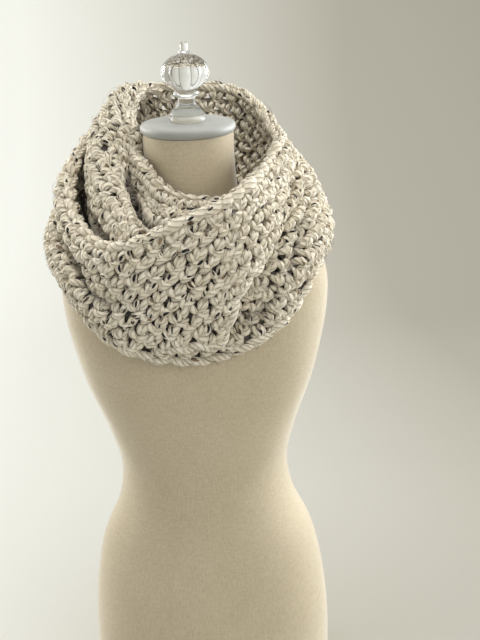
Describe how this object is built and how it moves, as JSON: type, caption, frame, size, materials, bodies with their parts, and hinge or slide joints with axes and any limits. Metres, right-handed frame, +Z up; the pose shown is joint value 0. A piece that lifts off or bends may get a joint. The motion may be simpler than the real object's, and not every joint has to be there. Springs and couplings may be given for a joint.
{
  "type": "infinity scarf on a dress form",
  "caption": "Chunky crocheted infinity scarf wound twice round the neck of a limbless tabletop dress form with a painted cap and a fluted glass finial.",
  "frame": {"origin": "on the dress form's flat base, below the middle of the neck's foot", "axes": "+Z up the form; -Y is the front of the form and scarf; +X is the viewer's right from the front"},
  "size_m": [0.344, 0.2729, 0.8284],
  "materials": {
    "tweed_yarn": "soft oatmeal wool with dark and brown tweed flecks",
    "linen": "plain cream linen, matte",
    "cap_paint": "satin grey-white paint",
    "clear_glass": "clear and polished"
  },
  "bodies": {
    "root": {"scarf_front_over": "tweed_yarn", "scarf_collar_back": "tweed_yarn", "scarf_front_under": "tweed_yarn", "scarf_low_back": "tweed_yarn", "form_body": "linen", "neck_cap": "cap_paint", "finial_foot": "clear_glass", "finial_ball": "clear_glass", "finial_tip": "clear_glass"}
  },
  "joints": []
}
